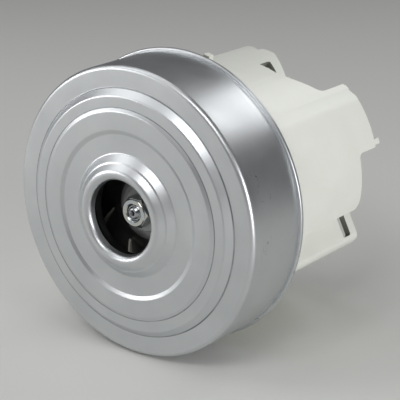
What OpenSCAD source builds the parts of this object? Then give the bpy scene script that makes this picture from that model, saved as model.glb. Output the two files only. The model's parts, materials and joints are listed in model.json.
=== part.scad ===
// Suction motor of a dry vacuum cleaner: one fan stage under a drawn steel cover, driven by a
// universal motor in a moulded barrel. It lies on its side with the inlet towards -Y and +Z up.
// Each piece is drawn about its own axis, local Z running from inlet to rear, and then laid along +Y.
// World angles are counted from +X towards +Z, as seen from the inlet side.

/* [Fan cover] */
// Outside diameter of the skirt
cover_d = 134; // [130:0.5:140]
// Thickness of the drawn sheet
cover_sheet = 1; // [0.8:0.1:1.2]
// Straight length of the skirt, from the front corner to the rear lip
skirt_len = 31.2; // [30.6:0.2:36]
// Outside radius of the front corner
corner_r = 2.2; // [1.6:0.1:3]
// How far the rear lip stands out from the skirt
lip_out = 1.5; // [0.8:0.1:2.5]
// Width of the rear lip along the axis
lip_w = 2.2; // [1.6:0.1:3]
// Radius at the foot of the first step of the face
step1_r = 57.3; // [55:0.1:60]
// Rise of the first step
step1_rise = 2.9; // [2:0.1:3.4]
// Radius at the foot of the second step
step2_r = 48.9; // [46:0.1:51]
// Rise of the second step
step2_rise = 0.9; // [0.5:0.1:1.4]
// Radius at the brink of the shallow well round the inlet
well_r = 39; // [36:0.1:42]
// Depth of that well
well_drop = 0.8; // [0.4:0.1:1.2]
// Radius of the inlet
inlet_r = 17.3; // [16:0.1:17.8]
// Width of the rolled inlet collar, from the throat to its foot
collar_w = 10.2; // [9:0.1:12]
// Rise of the inlet collar above the well
collar_rise = 5.4; // [4:0.1:6.5]

/* [Impeller] */
// Diameter of the impeller
impeller_d = 110; // [100:0.5:112]
// Inside radius of the impeller's eye
eye_r = 19.4; // [19:0.1:20]
// Number of blades
blade_count = 9; // [6:1:12]
// Blade height at the rim
blade_h = 8; // [6:0.1:9]
// Blade height at the eye
blade_eye_h = 11.5; // [10:0.1:12]
// Thickness of a blade
blade_t = 1; // [0.8:0.1:1.5]
// Thickness of the front shroud
shroud_t = 0.8; // [0.6:0.1:1.2]
// Thickness of the back plate
back_plate_t = 1; // [0.8:0.1:1.5]
// How far the back plate's hub is dished towards the inlet
hub_dish = 5.5; // [4.5:0.1:6]
// Width of the fan nut across its flats
nut_af = 13; // [12:0.5:14]
// Height of the fan nut
nut_h = 6.5; // [5:0.1:7]
// Outside radius of the clamp washer
washer_r = 10.5; // [9:0.1:11]
// Thickness of the clamp washer
washer_t = 1.5; // [1:0.1:2]
// Gap between the impeller and the diffuser
fan_gap = 2.5; // [2:0.1:4]

/* [Diffuser and front bracket] */
// Air way between the diffuser's plate and the cover's wall
diffuser_gap = 6; // [4:0.1:9]
// Thickness of the diffuser's plate
diffuser_t = 2; // [1.5:0.1:2.5]
// Height of the return vanes behind the plate
vane_h = 10.9; // [10.6:0.1:12]
// Number of return vanes
vane_count = 12; // [8:1:16]
// Thickness of a return vane
vane_t = 2; // [1.2:0.1:2.5]
// Thickness of the front bracket's plate
bracket_t = 2.5; // [2:0.1:3]
// Width of a bracket arm
bracket_arm_w = 10; // [7:0.5:12]
// Radius of the circle of bracket screws
bracket_screw_pcr = 43.7; // [43:0.1:44.5]

/* [Bearings] */
// Outside diameter of a bearing
bearing_d = 22; // [21:0.5:24]
// Width of a bearing
bearing_w = 7; // [6:0.5:8]
// Diameter of a bearing's bore and of the shaft's journals
journal_d = 8; // [7:0.1:8.4]
// Diameter of a ball
ball_d = 3.969; // [3.5:0.001:4.1]
// Number of balls in a bearing
ball_count = 7; // [6:1:8]

/* [Housing] */
// Outside radius of the barrel
barrel_r = 55.8; // [54.5:0.1:56.5]
// Wall thickness of the barrel
barrel_wall = 3; // [2.5:0.1:3.5]
// Length of the barrel behind the flange
barrel_len = 78.6; // [76:0.2:84]
// Thickness of the flange that closes the cover
flange_t = 3; // [2.5:0.1:4]
// Radius of the air opening in the flange
flange_open_r = 40; // [38:0.1:41]
// Outside radius of the two raised side pads
pad_r = 58; // [57:0.1:59]
// Outside radius at the nose of a corner column
column_r = 58.4; // [57:0.1:60]
// Outside radius of the channel between a column and its side pad
channel_r = 48; // [47.8:0.1:48.5]
// Depth of the vee notch, from the barrel's rear edge
notch_depth = 30.9; // [28:0.1:33]
// How much shorter the lower half of a side pad is
pad_cut = 14.2; // [11:0.1:16]
// Thickness of the rear bridge along the axis
bridge_t = 6; // [5:0.1:7]
// Length of the rear boss behind the bridge
boss_len = 7; // [6.2:0.1:9]
// Outside radius of the rear boss
boss_r = 14.5; // [14:0.1:16]

/* [Stator and armature] */
// Length of the stator and armature stacks
stack_len = 30; // [28:0.5:32]
// Outside radius of the stator stack
stator_r = 44.5; // [44:0.1:45]
// Radius of the armature stack
armature_r = 20; // [19:0.1:20.2]
// Air gap between armature and stator
air_gap = 0.7; // [0.5:0.1:0.9]
// Number of armature slots
slot_count = 12; // [10:1:14]
// Diameter of the shaft inside the armature
shaft_d = 10; // [9:0.1:11]
// Diameter of the field winding's wire, drawn coarse
wire_d = 1.3; // [1:0.1:1.35]
// Loops in one layer of a field coil
coil_loops = 6; // [4:1:6]
// Room between the flange and the stack
coil_room = 12.6; // [12:0.1:15]

/* [Commutator and brushes] */
// Diameter of the commutator
commutator_d = 23; // [21:0.5:24]
// Length of the commutator's bars
commutator_len = 15.5; // [14.5:0.1:17]
// Number of commutator bars
bar_count = 24; // [18:1:28]
// Width of a carbon brush around the commutator
brush_w = 6.5; // [6.2:0.1:7]
// Width of a carbon brush along the axis
brush_l = 9; // [8:0.1:10]
// Length of a carbon brush
brush_len = 18; // [15:0.5:20]
// Wall of the brass brush tube
tube_wall = 0.6; // [0.5:0.1:0.8]
// Distance of the brush tube's outer end from the axis
tube_end = 43; // [42.5:0.1:44]
// Diameter of the spring wire
spring_wire_d = 0.8; // [0.6:0.1:0.9]
// Curls of a brush spring
spring_curls = 9; // [6:1:10]

/* [Hidden] */
$fn = 96;

// Clearances
seat_gap = 0.02;
slide_gap = 0.1;
race_gap = 0.05;
cover_gap = 0.05;
running_gap = 0.4;
far = 200;
arc_steps = 6;

// Places along the axis, counted from the front end of the skirt's straight wall
face_z = -corner_r;
step1_z = face_z - step1_rise;
step2_z = step1_z - step2_rise;
well_z = step2_z + well_drop;
collar_z = well_z - collar_rise;
cover_end = skirt_len + lip_w;
flange_inset = 1;
flange_end = cover_end - flange_inset;
flange_z = flange_end - flange_t;
diffuser_z = flange_z - vane_h;
plate_z = diffuser_z - diffuser_t - fan_gap - back_plate_t;
hub_z = plate_z - hub_dish;
washer_z = hub_z - washer_t;
nut_z = washer_z - nut_h;
shaft_proud = 0.6;
shaft_front = nut_z - shaft_proud;
bearing_inset = 0.4;
front_bearing_z = flange_z - bearing_inset - bearing_w;
stack_z = flange_end + coil_room;
stack_end = stack_z + stack_len;
end_turn_l = 8;
commutator_gap = 10.5;
commutator_z = stack_end + commutator_gap;
commutator_end = commutator_z + commutator_len;
brush_z = commutator_z + commutator_len / 2;
holder_h = 15.5;
bridge_z = brush_z + holder_h / 2;
rear_bearing_gap = 2.2;
rear_bearing_z = bridge_z + rear_bearing_gap;
rear_bearing_end = rear_bearing_z + bearing_w;
preload_t = 0.3;
preload_room = 0.4;
boss_floor = rear_bearing_end + preload_room;
bridge_end = bridge_z + bridge_t;
boss_end = bridge_end + boss_len;
barrel_end = flange_end + barrel_len;

// Radii shared by pieces that fit together
cover_r = cover_d / 2;
cover_in = cover_r - cover_sheet;
diffuser_r = cover_in - diffuser_gap;
step_runs = [3.3, 1.7, 1.9];
impeller_r = impeller_d / 2;
journal_r = journal_d / 2;
shaft_r = shaft_d / 2;
bearing_r = bearing_d / 2;
ball_r = ball_d / 2;
race_wall = 1.8;
pitch_r = (bearing_r + journal_r) / 2;
outer_race_r = bearing_r - race_wall;
inner_race_r = journal_r + race_wall;
barrel_in = barrel_r - barrel_wall;
wall_mid = barrel_r - barrel_wall / 2;
sleeve_r = 6.4;
stator_bore = armature_r + air_gap;
commutator_r = commutator_d / 2;

// World angles of the housing's features
pad_from = -12.3;
pad_split = 14.2;
pad_to = 40;
pad_blend = 47;
column_dir = -47;
channel_to = -23.6;
nose_dir = -32.4;
flank_dir = 26.6;
notch_dir = 80;
bridge_arm_dir = 31;
tab_arm_dir = 120;
sides = [0, 180];

function unit(p) = p / norm(p);
function right_of(d) = [d.y, -d.x];
function at_angle(r, a) = r * [cos(a), -sin(a)];
function turn_between(a, b) = let (d = b - a) d > 180 ? d - 360 : d < -180 ? d + 360 : d;

// Points of the arc that rounds corner b between its neighbours a and c
function corner_arc(a, b, c, r) = r <= 0 ? [b] :
    let (u = unit(a - b), w = unit(c - b), half = acos(u * w) / 2,
        mid = b + unit(u + w) * r / sin(half),
        p = b + u * r / tan(half) - mid, q = b + w * r / tan(half) - mid,
        start = atan2(p.y, p.x), turn = turn_between(start, atan2(q.y, q.x)))
    [for (i = [0:arc_steps]) let (a = start + turn * i / arc_steps) mid + r * [cos(a), sin(a)]];

function flat(v) = [v.x, v.y];

// An open or a closed line of corners [x, y, radius], with its corners rounded
function round_path(v) = [for (i = [0:len(v) - 1]) each i == 0 || i == len(v) - 1 ? [flat(v[i])] :
    corner_arc(flat(v[i - 1]), flat(v[i]), flat(v[i + 1]), v[i][2])];
function round_loop(v) = let (n = len(v)) [for (i = [0:n - 1]) each
    corner_arc(flat(v[(i + n - 1) % n]), flat(v[i]), flat(v[(i + 1) % n]), v[i][2])];

// A line moved sideways by t, for the second face of a sheet
function beside(p, t) = let (n = len(p)) [for (i = [0:n - 1])
    let (before = unit(i == 0 ? p[1] - p[0] : p[i] - p[i - 1]),
        after = unit(i == n - 1 ? p[i] - p[i - 1] : p[i + 1] - p[i]),
        side = unit(right_of(before) + right_of(after)))
    p[i] + side * t / (side * right_of(before))];
function reversed(p) = [for (i = [len(p) - 1:-1:0]) p[i]];

// A tube of six sides swept along points, closed at both ends
tube_sides = 6;
function tube_frame(p, i, up) =
    let (n = len(p), along = unit(p[min(i + 1, n - 1)] - p[max(i - 1, 0)]),
        side = unit(cross(along, up)))
    [side, cross(side, along)];
function tube_points(p, r, up) = [for (i = [0:len(p) - 1]) let (f = tube_frame(p, i, up))
    each [for (k = [0:tube_sides - 1])
        p[i] + r * (cos(360 * k / tube_sides) * f[0] + sin(360 * k / tube_sides) * f[1])]];
function tube_faces(n) = let (s = tube_sides) concat(
    [for (k = [1:s - 2]) [0, k + 1, k]],
    [for (k = [1:s - 2]) let (o = (n - 1) * s) [o, o + k, o + k + 1]],
    [for (i = [0:n - 2], k = [0:s - 1]) let (a = i * s + k, b = i * s + (k + 1) % s) [a, b, b + s]],
    [for (i = [0:n - 2], k = [0:s - 1]) let (a = i * s + k, b = i * s + (k + 1) % s) [a, b + s, a + s]]);

// Least distance between points of a wound line that lie at least one half turn apart
function least_gap(p, per_turn, d) = min([for (i = [0:len(p) - 1])
    for (j = [i + floor(per_turn / 2):1:len(p) - 1]) norm(p[i] - p[j])]) - d;

module laid() {
    rotate([-90, 0, 0]) children();
}

module about_axis(a) {
    rotate([0, 0, -a]) children();
}

module ring(r_out, r_in, z, h) {
    translate([0, 0, z]) linear_extrude(h) difference() {
        circle(r_out);
        circle(r_in);
    }
}

module sheet_turned(front, t) {
    rotate_extrude() polygon(concat(front, reversed(beside(front, t))));
}

// A wedge of the plane between two world angles less than 180 degrees apart
module wedge(a, b) {
    polygon([[0, 0], at_angle(far, a), at_angle(far, (a + b) / 2), at_angle(far, b)]);
}

module ring_sector(r_out, r_in, a, b) {
    intersection() {
        difference() {
            circle(r_out);
            circle(r_in);
        }
        wedge(a, b);
    }
}

// A cut along the radius at a world angle, of an outline in [distance round, distance along the axis]
module radial_cut(a, from, to, outline) {
    about_axis(a) translate([from, 0, 0]) rotate([90, 0, 90]) linear_extrude(to - from)
        polygon([for (p = outline) [-p.x, p.y]]);
}

// Fan stage

module fan_cover() {
    collar_foot = inlet_r + collar_w;
    throat_end = well_z - 0.4;
    crest_w = collar_w / 2;
    brink = cover_sheet + 0.6;
    lip_edge = 0.7;
    sheet = round_path([[cover_r, skirt_len, 0], [cover_r, face_z, corner_r],
        [step1_r, face_z, 1], [step1_r - step_runs[0], step1_z, brink],
        [step2_r, step1_z, 0.8], [step2_r - step_runs[1], step2_z, brink],
        [well_r, step2_z, brink], [well_r - step_runs[2], well_z, 1],
        [collar_foot, well_z, 3], [inlet_r + crest_w, collar_z, 3.6],
        [inlet_r, collar_z, 2.2], [inlet_r, throat_end, 0]]);
    lip = round_path([[cover_in, cover_end, 0], [cover_r + lip_out, cover_end, lip_edge],
        [cover_r + lip_out, skirt_len, lip_edge], [cover_r, skirt_len, 0]]);
    color("silver") laid() rotate_extrude() polygon(concat(lip, [for (i = [1:len(sheet) - 1]) sheet[i]],
        reversed(beside(sheet, cover_sheet))));
}

eye_lip = eye_r + shroud_t;
well_inside = well_z + cover_sheet;
eye_front = well_inside + 2 * running_gap;
shroud_eye_z = plate_z - blade_eye_h - shroud_t;
shroud_rim_z = plate_z - blade_h - shroud_t;
seal_w = 5.5;
seal_most_t = 2.4;

module eye_seal_ring() {
    seal_t = min(seal_most_t, shroud_eye_z - well_inside - running_gap);
    color("ivory") laid() ring(eye_lip + running_gap + seal_w, eye_lip + running_gap, well_inside, seal_t);
}

shroud_front = round_path([[impeller_r, shroud_rim_z, 0], [eye_lip, shroud_eye_z, 1.6],
    [eye_lip, eye_front, 0]]);

module impeller_shroud() {
    color("lightgray") laid() sheet_turned(shroud_front, shroud_t);
}

blade_inset = 4.5;
blade_in = eye_r + blade_inset;
rim_inset = 0.5;
hub_foot_r = blade_in - 1.5;

module impeller_blades() {
    bow_r = 38;
    bow_at = 32;
    under = beside(shroud_front, shroud_t + seat_gap);
    color("gray") laid() intersection() {
        translate([0, 0, shroud_eye_z]) linear_extrude(blade_eye_h + 2)
            for (i = [0:blade_count - 1]) rotate(360 * i / blade_count) intersection() {
                translate([bow_at, 0]) difference() {
                    circle(bow_r + blade_t / 2);
                    circle(bow_r - blade_t / 2);
                }
                difference() {
                    circle(impeller_r - rim_inset);
                    circle(blade_in);
                }
                translate([-far, 0]) square([2 * far, far]);
            }
        rotate_extrude() polygon(concat(
            [for (p = under) if (p.x > blade_in - 2) p],
            [[blade_in - 2, plate_z - seat_gap], [impeller_r, plate_z - seat_gap]]));
    }
}

module impeller_back_plate() {
    color("lightgray") laid() sheet_turned(round_path([[impeller_r, plate_z, 0], [hub_foot_r, plate_z, 5],
        [washer_r + 2, hub_z, 3], [journal_r + seat_gap, hub_z, 0]]), back_plate_t);
}

module clamp_washer() {
    color("dimgray") laid() ring(washer_r, journal_r + seat_gap, washer_z, washer_t);
}

module fan_nut() {
    chamfer = 1;
    corner = nut_af / 2 / cos(30);
    color("silver") laid() intersection() {
        translate([0, 0, nut_z]) linear_extrude(nut_h) difference() {
            circle(corner, $fn = 6);
            circle(journal_r + seat_gap);
        }
        rotate_extrude() polygon([[0, nut_z], [nut_af / 2 - 0.2, nut_z], [corner + 0.2, nut_z + chamfer],
            [corner + 0.2, nut_z + nut_h], [0, nut_z + nut_h]]);
    }
}

module spacer_sleeve() {
    sleeve_z = hub_z + back_plate_t;
    color("darkgray") laid() ring(sleeve_r, journal_r + seat_gap, sleeve_z, front_bearing_z - sleeve_z);
}

module rotor_shaft() {
    centre_r = 1.7;
    centre_depth = 2.2;
    tip = 0.8;
    shoulder_front = front_bearing_z + bearing_w;
    shoulder_rear = stack_end + end_turn_l;
    color("gainsboro") laid() rotate_extrude() polygon([[0, shaft_front + centre_depth],
        [centre_r, shaft_front], [journal_r - tip, shaft_front], [journal_r, shaft_front + tip],
        [journal_r, shoulder_front],
        [shaft_r, shoulder_front], [shaft_r, shoulder_rear], [journal_r, shoulder_rear],
        [journal_r, rear_bearing_end - bearing_inset], [0, rear_bearing_end - bearing_inset]]);
}

bracket_ring_r = bracket_screw_pcr + 3.8;
screw_head_h = 2.4;

module diffuser() {
    bow_r = 45;
    bow_at = 34;
    vane_in = 28;
    vane_out = cover_in - 0.3;
    hub_hole = sleeve_r + 2.6;
    plate_mid = diffuser_z - diffuser_t / 2;
    step_r = bracket_ring_r + 0.6;
    shallow_z = flange_z - bracket_t - screw_head_h - 0.3;
    color("ivory") laid() union() {
        ring(diffuser_r, hub_hole, diffuser_z - diffuser_t, diffuser_t);
        intersection() {
            translate([0, 0, diffuser_z - diffuser_t]) linear_extrude(vane_h + diffuser_t)
                for (i = [0:vane_count - 1]) rotate(360 * i / vane_count) intersection() {
                    translate([bow_at, 0]) difference() {
                        circle(bow_r + vane_t / 2);
                        circle(bow_r - vane_t / 2);
                    }
                    translate([-far, -far]) square([2 * far, far]);
                }
            rotate_extrude() polygon([[vane_in, plate_mid], [diffuser_r - 1, plate_mid],
                [diffuser_r - 1, diffuser_z - diffuser_t], [vane_out, diffuser_z - diffuser_t],
                [vane_out, flange_z], [step_r, flange_z], [step_r, shallow_z], [vane_in, shallow_z]]);
        }
    }
}

bracket_dirs = [45, 135, 225, 315];
bracket_shank_r = 2;
rib_root = 0.5;

module front_bracket() {
    cup_wall = 2.6;
    cup_front_t = 1.2;
    ring_in = flange_open_r - 6;
    cup_r = bearing_r + cup_wall;
    cup_z = front_bearing_z - seat_gap - cup_front_t;
    color("silver") laid() difference() {
        union() {
            ring(bracket_ring_r, ring_in, flange_z - bracket_t, bracket_t);
            for (a = bracket_dirs) about_axis(a)
                translate([bearing_r + cup_wall / 2, -bracket_arm_w / 2, flange_z - bracket_t])
                    cube([ring_in + 2 - bearing_r, bracket_arm_w, bracket_t]);
            translate([0, 0, cup_z]) cylinder(h = flange_z - cup_z, r = cup_r);
        }
        translate([0, 0, front_bearing_z - seat_gap]) cylinder(h = far, r = bearing_r + seat_gap);
        cylinder(h = far, r = sleeve_r + 1.2);
        for (a = bracket_dirs) about_axis(a) translate([bracket_screw_pcr, 0, 0])
            cylinder(h = far, r = bracket_shank_r + 0.2);
    }
}

module bracket_screws() {
    head_r = 3.6;
    grip = flange_t - 2 * rib_root;
    color("gold") laid() for (a = bracket_dirs) about_axis(a)
        translate([bracket_screw_pcr, 0, flange_z - bracket_t - screw_head_h])
            rotate_extrude() polygon([[0, 0], [head_r - 0.8, 0], [head_r, 0.8], [head_r, screw_head_h],
                [bracket_shank_r, screw_head_h], [bracket_shank_r, screw_head_h + bracket_t + grip],
                [0, screw_head_h + bracket_t + grip]]);
}

// Bearings

groove_r = ball_r + race_gap;

module bearing_outer(z) {
    color("silver") laid() rotate_extrude() difference() {
        translate([outer_race_r, z]) square([race_wall, bearing_w]);
        translate([pitch_r, z + bearing_w / 2]) circle(groove_r);
    }
}

module bearing_inner(z) {
    color("silver") laid() rotate_extrude() difference() {
        translate([journal_r + seat_gap, z]) square([race_wall - seat_gap, bearing_w]);
        translate([pitch_r, z + bearing_w / 2]) circle(groove_r);
    }
}

module bearing_balls(z) {
    color("whitesmoke") laid() for (i = [0:ball_count - 1]) rotate(360 * (i + 0.5) / ball_count)
        translate([pitch_r, 0, z + bearing_w / 2]) sphere(ball_r);
}

// A thin ring with a window for each ball
module bearing_cage(z) {
    rim_t = 0.5;
    wall = 0.6;
    mid = z + bearing_w / 2;
    reach = ball_r + race_gap;
    pocket = asin((ball_r + 4 * race_gap) / pitch_r);
    color("peru") laid() difference() {
        ring(pitch_r + wall, pitch_r - wall, mid - reach - rim_t, 2 * (reach + rim_t));
        for (i = [0:ball_count - 1]) rotate(360 * (i + 0.5) / ball_count) translate([0, 0, mid - reach])
            linear_extrude(2 * reach) wedge(-pocket, pocket);
    }
}

module bearing_shields(z) {
    shield_t = 0.3;
    shield_inset = 0.25;
    for (at = [z + shield_inset, z + bearing_w - shield_inset - shield_t])
        color("darkgray") laid() ring(outer_race_r - seat_gap, inner_race_r + running_gap, at, shield_t);
}

module front_bearing_outer() {
    bearing_outer(front_bearing_z);
}

module front_bearing_inner() {
    bearing_inner(front_bearing_z);
}

module front_bearing_balls() {
    bearing_balls(front_bearing_z);
}

module front_bearing_cage() {
    bearing_cage(front_bearing_z);
}

module front_bearing_shields() {
    bearing_shields(front_bearing_z);
}

module rear_bearing_outer() {
    bearing_outer(rear_bearing_z);
}

module rear_bearing_inner() {
    bearing_inner(rear_bearing_z);
}

module rear_bearing_balls() {
    bearing_balls(rear_bearing_z);
}

module rear_bearing_cage() {
    bearing_cage(rear_bearing_z);
}

module rear_bearing_shields() {
    bearing_shields(rear_bearing_z);
}

module preload_washer() {
    color("darkgray") laid()
        ring(bearing_r - 0.2, outer_race_r - 0.6, rear_bearing_end + seat_gap, preload_t);
}

// Housing

stator_screw_at = 38.3;
stator_screw_r = 2;
lug_in = 33.5;
lug_w = 11;
lug_l = 7.5;
holder_w = 18;
holder_screw_at = 32;
holder_screw_side = 6.2;
holder_screw_r = 1.5;
platform_end = 42;
tab_w = 6.3;
tab_t = 0.8;
tab_at = 30;
column_end = barrel_end - 2.7;

function round_u(a) = barrel_r * sin(a - notch_dir);

// Outline of the vee notch in the barrel's rear edge, from the side pad over the vee to the far rim
notch_outline = round_loop([[round_u(48.7), far, 0], [round_u(48.7), barrel_end - 18.5, 7],
    [round_u(63.2), barrel_end - notch_depth, 0.6], [round_u(82.5), barrel_end - 15, 5],
    [round_u(91.6), barrel_end - 12.4, 0.6], [round_u(91.9), barrel_end - 15.6, 0.4],
    [round_u(112), barrel_end - 0.4, 0.4], [round_u(112), far, 0]]);
window_outline = round_loop([[round_u(77.3), barrel_end - 34, 0.4], [round_u(77.3), barrel_end - 26, 0.8],
    [round_u(67.2), barrel_end - 33.2, 0.3]]);

function mid_u(a) = pad_r * sin(a);

// Outline of the corner that is missing from the rear of a side pad's lower half
pad_edge = mid_u(pad_from) - 0.3;
pad_round = 5.5;
pad_end = barrel_end - pad_cut;
pad_outline = round_loop([[pad_edge - 4, far, 0], [pad_edge - 4, pad_end - pad_round - 1, 0],
    [pad_edge, pad_end - pad_round - 1, 0], [pad_edge, pad_end, pad_round],
    [mid_u(pad_split), pad_end, 2.4], [mid_u(pad_split), far, 0]]);

slot_outline = round_loop([[-48.2, column_end - 11.2, 1], [-37.6, column_end - 11.2, 1],
    [-37.6, column_end - 5.3, 1], [-48.2, column_end - 5.3, 1]]);

module barrel_shell() {
    overlap = 1;
    difference() {
        translate([0, 0, flange_end - overlap]) linear_extrude(barrel_len + overlap) union() {
            difference() {
                circle(barrel_r);
                circle(barrel_in);
                for (s = sides) wedge(column_dir + s, pad_from + s);
            }
            for (s = sides) {
                ring_sector(pad_r, wall_mid, pad_from + s, pad_to + s);
                polygon([at_angle(wall_mid, pad_to - 6 + s), at_angle(pad_r - 0.1, pad_to - 2 + s),
                    at_angle(barrel_r - 0.3, pad_blend + s), at_angle(wall_mid, pad_blend + s)]);
            }
        }
        for (s = sides) {
            radial_cut(notch_dir + s, barrel_in / 2, far, notch_outline);
            radial_cut(notch_dir + s, barrel_in / 2, far, window_outline);
            radial_cut(s, barrel_in / 2, far, pad_outline);
        }
    }
}

// Wall of a corner column, from the channel round its nose to the barrel, and the web up to the side pad
module column_shell(s) {
    web = 3;
    foot_r = channel_r - barrel_wall;
    wall = round_path([at_angle(channel_r, pad_from + 2 + s),
        concat(at_angle(channel_r, channel_to + s), 3), concat(at_angle(column_r + 1.1, nose_dir + s), 4.2),
        concat(at_angle(column_r, nose_dir - 5.4 + s), 8),
        concat(at_angle(barrel_r + 0.9, column_dir + 3 + s), 8),
        at_angle(barrel_r - 1.2, column_dir - 4 + s)]);
    difference() {
        translate([0, 0, flange_end - 1]) linear_extrude(column_end - flange_end + 1) union() {
            polygon(concat(wall, reversed(beside(wall, -barrel_wall))));
            intersection() {
                ring_sector(barrel_in + 1, foot_r, pad_from - 5 + s, pad_from + 12 + s);
                about_axis(pad_from + 0.5 + s) translate([0, -web]) square([far, web]);
            }
        }
        radial_cut(flank_dir + s, 0, stator_r, slot_outline);
        radial_cut(s, barrel_in / 2, far, pad_outline);
    }
}

module bridge_arm(a, reach, w) {
    about_axis(a) translate([0, -w / 2, bridge_z]) cube([reach, w, bridge_t]);
}

module rear_bridge() {
    root_r = boss_r + 0.6;
    difference() {
        union() {
            intersection() {
                translate([0, 0, bridge_z]) cylinder(h = bridge_t, r = barrel_in + 1);
                for (s = sides) {
                    bridge_arm(bridge_arm_dir + s, far, 18);
                    bridge_arm(tab_arm_dir + s, far, 14);
                    bridge_arm(90 + s, platform_end, holder_w);
                }
            }
            translate([0, 0, bridge_z]) cylinder(h = bridge_t, r = root_r);
            translate([0, 0, bridge_z]) cylinder(h = boss_end - bridge_z, r = boss_r);
        }
        translate([0, 0, bridge_z - 1]) cylinder(h = boss_floor - bridge_z + 1, r = bearing_r + seat_gap);
        for (s = sides) {
            about_axis(90 + s) for (y = [-1, 1])
                translate([holder_screw_at, y * holder_screw_side, bridge_z - 1])
                    cylinder(h = far, r = holder_screw_r + 0.2);
            about_axis(tab_arm_dir + s)
                translate([tab_at - tab_t / 2 - seat_gap, -tab_w / 2 - seat_gap, bridge_z - 1])
                    cube([tab_t + 2 * seat_gap, tab_w + 2 * seat_gap, far]);
        }
    }
}

module housing_lugs() {
    rib_t = 3;
    for (s = sides) about_axis(s) difference() {
        intersection() {
            translate([lug_in, -lug_w / 2, stack_end]) cube([far, lug_w, lug_l]);
            cylinder(h = far, r = barrel_in + 1);
        }
        translate([stator_screw_at, 0, stack_end - 1]) cylinder(h = far, r = stator_screw_r + seat_gap);
    }
    for (a = bracket_dirs) about_axis(a) intersection() {
        translate([stator_r + seat_gap, -rib_t / 2, flange_end - rib_root])
            cube([far, rib_t, stack_end - flange_end]);
        cylinder(h = far, r = barrel_in + 1);
    }
}

// Small tabs that stand out of the rear edge, and the locating nib behind the cover's lip
module housing_nibs() {
    tab_l = 3.8;
    tab_deep = 2;
    nib_l = 3.4;
    for (s = sides) {
        translate([0, 0, barrel_end - tab_l]) linear_extrude(2 * tab_l)
            ring_sector(pad_r, barrel_in + 0.4, 15.2 + s, 18 + s);
        translate([0, 0, barrel_end - tab_l - tab_deep]) linear_extrude(tab_l + tab_deep + 1)
            ring_sector(barrel_r, barrel_in + 0.4, 45 + s, 47.8 + s);
        translate([0, 0, cover_end + cover_gap]) linear_extrude(nib_l)
            ring_sector(cover_r + lip_out + 0.5, wall_mid, 76.4 + s, 79.2 + s);
    }
}

module motor_housing() {
    color("gainsboro") laid() union() {
        difference() {
            ring(cover_in - cover_gap, flange_open_r, flange_z, flange_t);
            for (a = bracket_dirs) about_axis(a) translate([bracket_screw_pcr, 0, 0])
                cylinder(h = far, r = bracket_shank_r + seat_gap);
        }
        barrel_shell();
        for (s = sides) column_shell(s);
        rear_bridge();
        housing_lugs();
        housing_nibs();
    }
}

// Stator

neck_half = 15;
shoe_r = 25;
slot_half = 31.5;
slot_reach = 32;
slot_curve = 40.5;
stator_flat = 38.5;
shoe_half_angle = 60;
bobbin_wall = 2.2;
bobbin_gap = 0.2;
bobbin_in = 20.1;
bobbin_out = 31.5;

module stator_core() {
    color("slategray") laid() translate([0, 0, stack_z]) linear_extrude(stack_len) difference() {
        intersection() {
            circle(stator_r);
            square([2 * far, 2 * stator_flat], center = true);
        }
        circle(stator_bore);
        difference() {
            intersection() {
                square([2 * slot_reach, 2 * slot_half], center = true);
                circle(slot_curve);
            }
            square([2 * far, 2 * neck_half], center = true);
            for (s = sides) ring_sector(shoe_r, stator_bore - 1, s - shoe_half_angle, s + shoe_half_angle);
        }
        for (s = sides) translate(at_angle(stator_screw_at, s)) circle(stator_screw_r + 0.2);
    }
}

module rounded_rect(half_x, half_y, r) {
    union() {
        square([2 * (half_x - r), 2 * half_y], center = true);
        square([2 * half_x, 2 * (half_y - r)], center = true);
        for (x = [-1, 1], y = [-1, 1]) translate([x * (half_x - r), y * (half_y - r)]) circle(r);
    }
}

module pole_insulators() {
    in_q = neck_half + bobbin_gap;
    in_l = stack_len / 2 + bobbin_gap;
    color("saddlebrown") laid() for (s = sides) about_axis(s)
        translate([bobbin_in, 0, stack_z + stack_len / 2]) rotate([90, 0, 90])
            linear_extrude(bobbin_out - bobbin_in - bobbin_gap) difference() {
                rounded_rect(in_q + bobbin_wall, in_l + bobbin_wall, 5);
                square([2 * in_q, 2 * in_l], center = true);
            }
}

loop_rings = 24;
coil_pitch = wire_d + 0.6;
coil_turns = 2 * coil_loops;
coil_lift = 2;
coil_power = 5;

// A winding's line: two layers of loops round a pole, in along the pole and out again
function loop_part(t) = pow(abs(t), 2 / coil_power) * sign(t);
function coil_point(t) =
    let (half_q = neck_half + bobbin_gap + bobbin_wall + coil_lift,
        half_l = stack_len / 2 + bobbin_gap + bobbin_wall + coil_lift,
        layer = coil_pitch * min(1, max(0, 2 * (t - coil_loops) + 0.5)),
        down = t < coil_loops ? t : coil_turns - t,
        top = bobbin_out - wire_d)
    [top - coil_pitch * down, (half_q + layer) * loop_part(cos(360 * t)),
        (half_l + layer) * loop_part(sin(360 * t))];
coil_line = [for (i = [0:loop_rings * coil_turns]) coil_point(i / loop_rings)];
echo(coil_least_gap = least_gap(coil_line, loop_rings, wire_d));

module field_coil(s) {
    color("chocolate") laid() about_axis(s) translate([0, 0, stack_z + stack_len / 2])
        polyhedron(tube_points(coil_line, wire_d / 2, [1, 0, 0]), tube_faces(len(coil_line)));
}

module field_coil_right() {
    field_coil(0);
}

module field_coil_left() {
    field_coil(180);
}

module stator_screws() {
    head_r = 3.5;
    head_h = 2.6;
    reach = stack_len + lug_l - 1;
    color("gold") laid() for (s = sides) about_axis(s) translate([stator_screw_at, 0, stack_z - head_h])
        rotate_extrude() polygon([[0, 0], [head_r - 0.8, 0], [head_r, 0.8], [head_r, head_h],
            [stator_screw_r, head_h], [stator_screw_r, head_h + reach], [0, head_h + reach]]);
}

// Armature

slot_r = 2.6;
slot_at = armature_r - 5;
slot_mouth = 2;

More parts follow.
